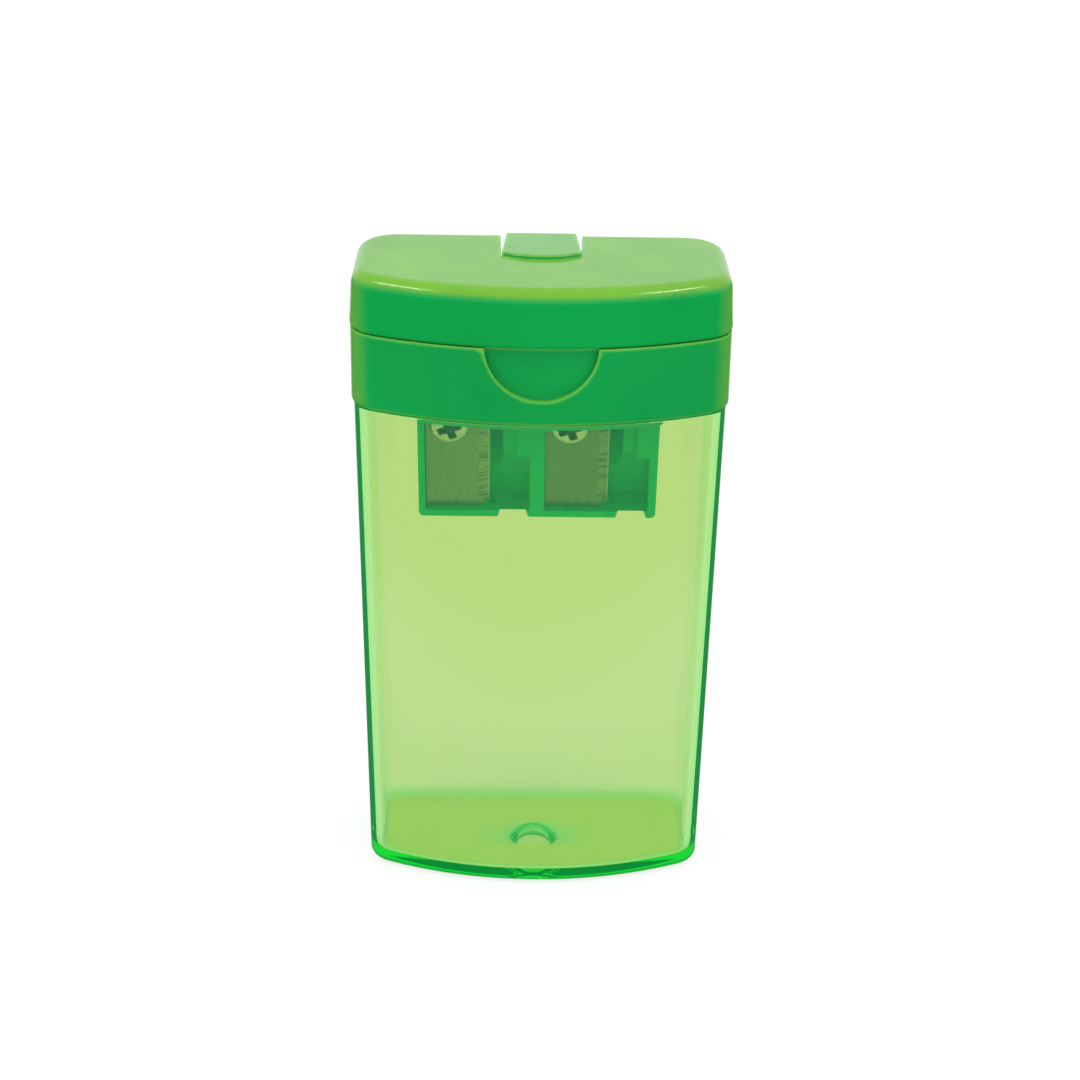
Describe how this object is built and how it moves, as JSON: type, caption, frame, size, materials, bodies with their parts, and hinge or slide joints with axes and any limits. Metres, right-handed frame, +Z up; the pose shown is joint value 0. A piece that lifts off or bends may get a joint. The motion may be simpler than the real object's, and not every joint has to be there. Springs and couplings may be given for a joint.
{
  "type": "pencil sharpener",
  "caption": "Twin-hole pencil sharpener with a clear green tub for the shavings, a pull-off green head with screwed-on blades and a hinged flip lid.",
  "frame": {"origin": "middle of the body's outline, at the level of the container's base", "axes": "+X across the body from the viewer's left to right, +Y to the flat back with the hinge, +Z up through the lid"},
  "size_m": [0.0414, 0.023, 0.0725],
  "materials": {
    "clear_plastic": "clear, tinted yellow-green, polished",
    "green_plastic": "moulded, satin to gloss",
    "blade_steel": "ground lengthwise, edge ground crosswise",
    "screw_steel": "bright plated"
  },
  "bodies": {
    "container": {"container": "clear_plastic"},
    "head": {"collar": "green_plastic", "sharpener_block": "green_plastic", "blade_left": "blade_steel", "blade_right": "blade_steel", "screw_left": "screw_steel", "screw_right": "screw_steel"},
    "lid": {"lid": "green_plastic"}
  },
  "joints": [
    {"name": "head_lift", "type": "slide", "parent": "container", "child": "head", "axis": [0, 0, 1], "range_m": [0, 0.024]},
    {"name": "lid_hinge", "type": "hinge", "parent": "head", "child": "lid", "pos_m": [0, 0.0101, 0.0639], "axis": [-1, 0, 0], "range_deg": [0, 110]}
  ]
}
